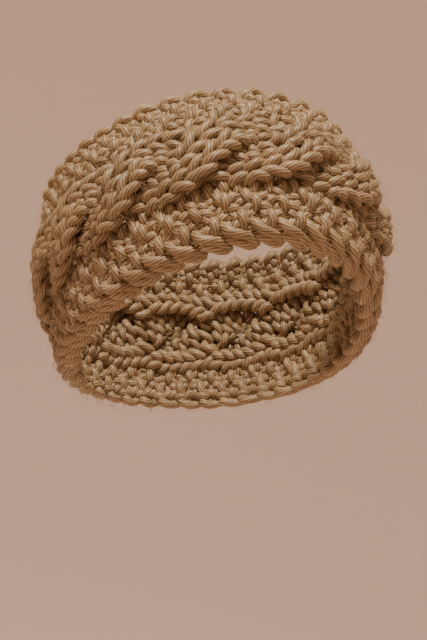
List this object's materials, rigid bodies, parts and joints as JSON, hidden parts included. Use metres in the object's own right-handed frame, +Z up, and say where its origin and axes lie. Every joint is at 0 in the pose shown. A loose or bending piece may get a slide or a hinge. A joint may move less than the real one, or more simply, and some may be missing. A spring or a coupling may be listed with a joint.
{
  "type": "cable knit headband",
  "caption": "Wide soft headband knitted from thick yarn, with a raised cable round its middle between two bumpy textured borders, in the form it takes on a head.",
  "frame": {"origin": "centre of the opening for the head, on the axis of the loop at the middle of its width", "axes": "+Z up as worn, the wearer faces -Y, +X to the right as seen from in front; the loop leans back by 38 degrees, raised at the front"},
  "size_m": [0.1882, 0.2144, 0.1924],
  "materials": {
    "border_yarn": "soft plied golden tan yarn, silky on the plies",
    "cable_yarn": "soft plied golden tan yarn, silky on the plies"
  },
  "bodies": {
    "root": {"lower_border": "border_yarn", "cable_strand_a": "cable_yarn", "cable_strand_b": "cable_yarn", "upper_border": "border_yarn"}
  },
  "joints": []
}
